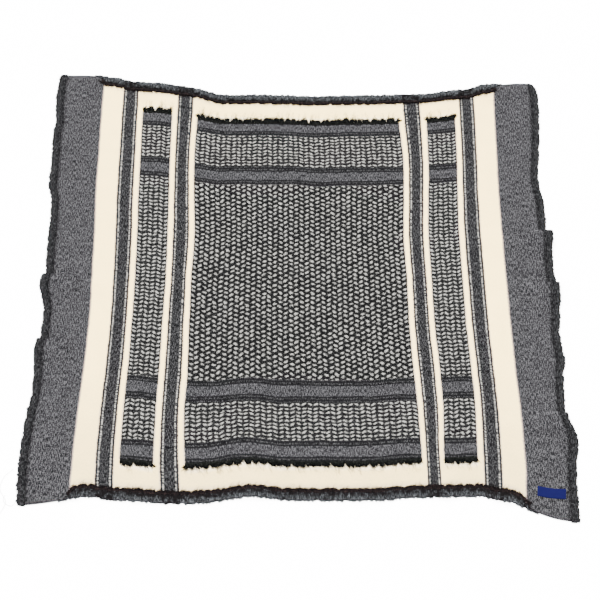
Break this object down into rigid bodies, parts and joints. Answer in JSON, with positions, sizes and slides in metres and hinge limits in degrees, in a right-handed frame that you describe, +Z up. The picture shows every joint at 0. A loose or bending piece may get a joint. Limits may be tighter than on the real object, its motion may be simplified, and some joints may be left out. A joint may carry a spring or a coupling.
{
  "type": "square woven scarf",
  "caption": "Square woven scarf laid out flat, with a banded and ticked weave, dark side borders, turned hems, cut floats and a sewn label.",
  "frame": {"origin": "middle of the box around the laid-out scarf, on the surface that it lies on", "axes": "+X across the weave from the left selvedge to the right one, +Y along the warp towards the far end, +Z up from the surface"},
  "size_m": [1.1732, 1.0706, 0.0097],
  "materials": {
    "cream_weave": "matt open cotton weave, cream ground with charcoal bands, stripes and black and grey ticks",
    "charcoal_selvedge": "matt dense charcoal weave, slightly fuzzy",
    "grey_melange_hem": "matt mottled blue-grey rolled weave",
    "black_floats": "matt soft black cut yarn",
    "navy_label": "fine dark navy label tape, bare, with a soft sheen"
  },
  "bodies": {
    "root": {"cloth": "cream_weave", "selvedge_left": "charcoal_selvedge", "selvedge_right": "charcoal_selvedge", "hem_top": "grey_melange_hem", "hem_bottom": "grey_melange_hem", "hem_floats_top": "black_floats", "hem_floats_bottom": "black_floats", "floats_left_top": "black_floats", "floats_left_bottom": "black_floats", "floats_centre_top": "black_floats", "floats_centre_bottom": "black_floats", "floats_right_top": "black_floats", "floats_right_bottom": "black_floats", "label": "navy_label"}
  },
  "joints": []
}
